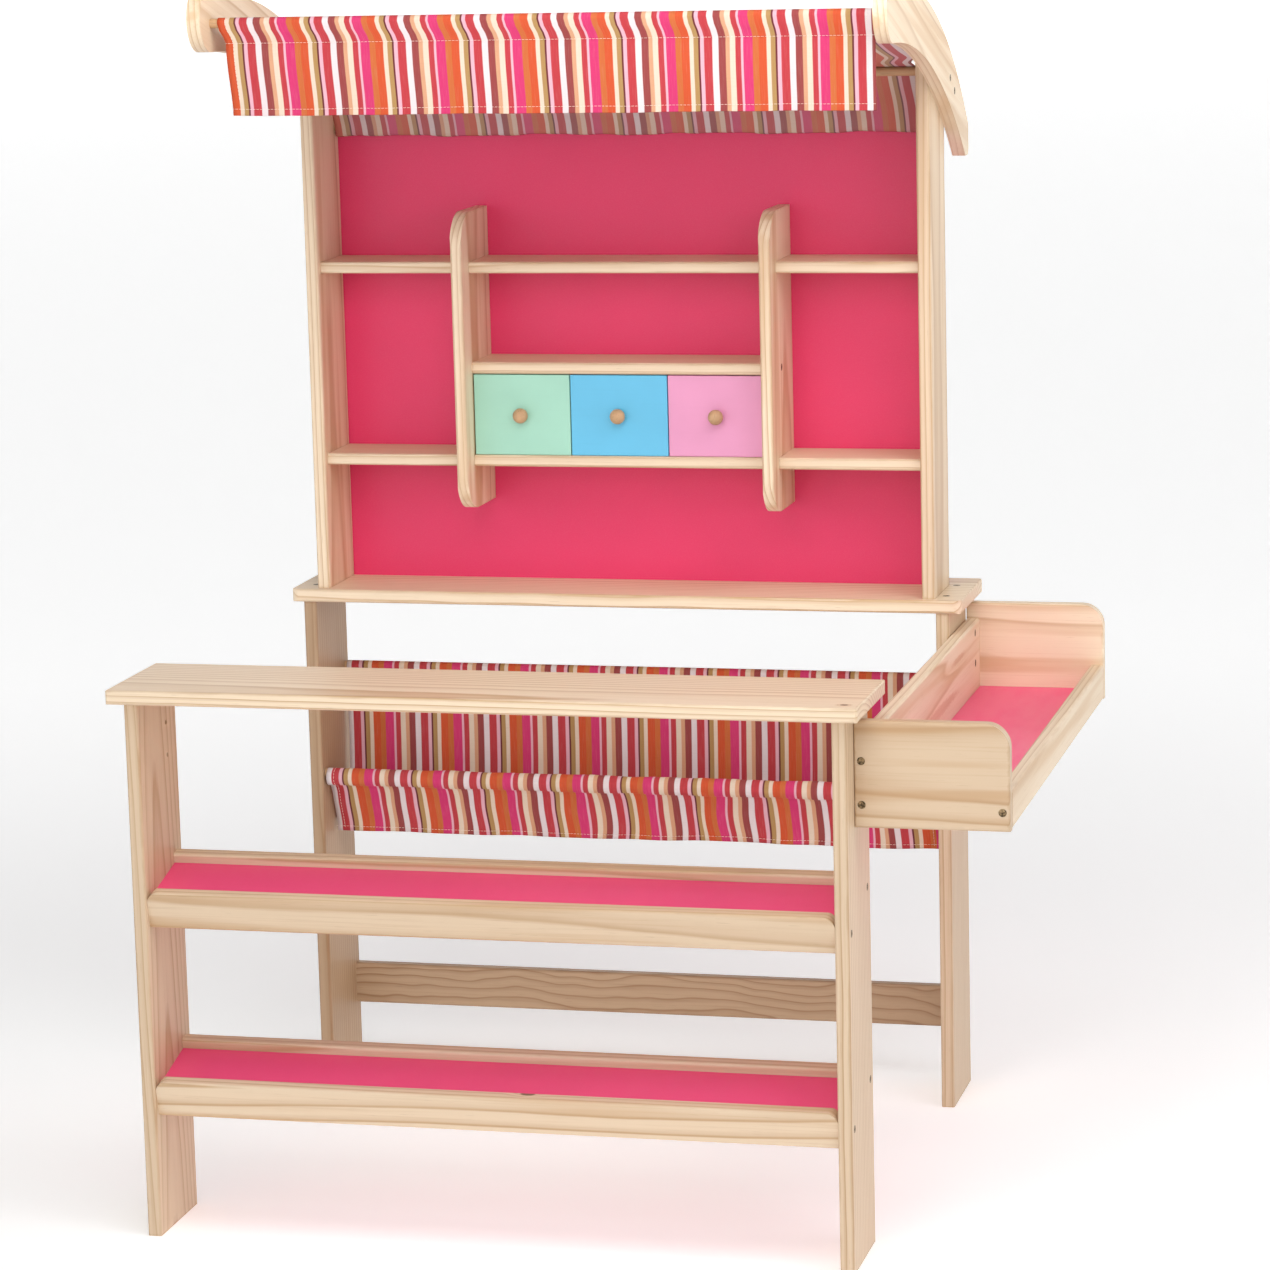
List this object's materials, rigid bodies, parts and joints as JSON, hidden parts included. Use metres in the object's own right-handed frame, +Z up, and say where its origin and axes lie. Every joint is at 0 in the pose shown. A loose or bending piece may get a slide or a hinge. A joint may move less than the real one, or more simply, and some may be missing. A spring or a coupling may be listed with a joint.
{
  "type": "toy market stall",
  "caption": "Wooden toy market stall: counter with tilted display trays, shelf unit with small drawers, side tray, striped canopy and fabric sling.",
  "frame": {"origin": "floor level, under the middle of the stall's plan rectangle", "axes": "+Z up, +Y from the counter to the rear shelf unit, +X along the counter towards the side tray"},
  "size_m": [0.916, 0.768, 1.271],
  "materials": {
    "pine": "clear matt varnish, fine straight grain with small knots",
    "beech": "turned, satin",
    "raspberry_board": "raspberry pink laminated hardboard, satin",
    "antique_brass": "dark antique brass plating",
    "striped_cotton": "woven cotton with many coloured stripes, matt",
    "green_paint": "mint green satin paint",
    "blue_paint": "sky blue satin paint",
    "pink_paint": "light pink satin paint"
  },
  "bodies": {
    "stall": {"counter_top": "pine", "counter_leg_left": "pine", "counter_leg_right": "pine", "upper_tray_front_rail": "pine", "upper_tray_back_rail": "pine", "upper_tray_floor": "raspberry_board", "lower_tray_front_rail": "pine", "lower_tray_back_rail": "pine", "lower_tray_floor": "raspberry_board", "rear_leg_left": "pine", "rear_leg_right": "pine", "rear_stretcher": "pine", "mid_board": "pine", "sling_rear_rod": "beech", "sling_front_rod": "beech", "sling_cloth": "striped_cotton", "upright_left": "pine", "upright_right": "pine", "back_panel": "raspberry_board", "top_shelf": "pine", "low_shelf": "pine", "short_shelf": "pine", "divider_left": "pine", "divider_right": "pine", "canopy_arm_left": "pine", "canopy_arm_right": "pine", "canopy_front_rod": "beech", "canopy_middle_rod": "beech", "canopy_rear_rod": "beech", "canopy_cloth": "striped_cotton", "side_tray_front": "pine", "side_tray_rear": "pine", "side_tray_inner": "pine", "side_tray_outer": "pine", "side_tray_floor": "raspberry_board", "screws": "antique_brass"},
    "green_drawer": {"green_drawer_front": "green_paint", "green_drawer_sides": "pine", "green_drawer_back": "pine", "green_drawer_bottom": "pine", "green_drawer_knob": "beech"},
    "blue_drawer": {"blue_drawer_front": "blue_paint", "blue_drawer_sides": "pine", "blue_drawer_back": "pine", "blue_drawer_bottom": "pine", "blue_drawer_knob": "beech"},
    "pink_drawer": {"pink_drawer_front": "pink_paint", "pink_drawer_sides": "pine", "pink_drawer_back": "pine", "pink_drawer_bottom": "pine", "pink_drawer_knob": "beech"}
  },
  "joints": [
    {"name": "green_drawer_slide", "type": "slide", "parent": "stall", "child": "green_drawer", "axis": [0, -1, 0], "range_m": [0, 0.055]},
    {"name": "blue_drawer_slide", "type": "slide", "parent": "stall", "child": "blue_drawer", "axis": [0, -1, 0], "range_m": [0, 0.055]},
    {"name": "pink_drawer_slide", "type": "slide", "parent": "stall", "child": "pink_drawer", "axis": [0, -1, 0], "range_m": [0, 0.055]}
  ]
}
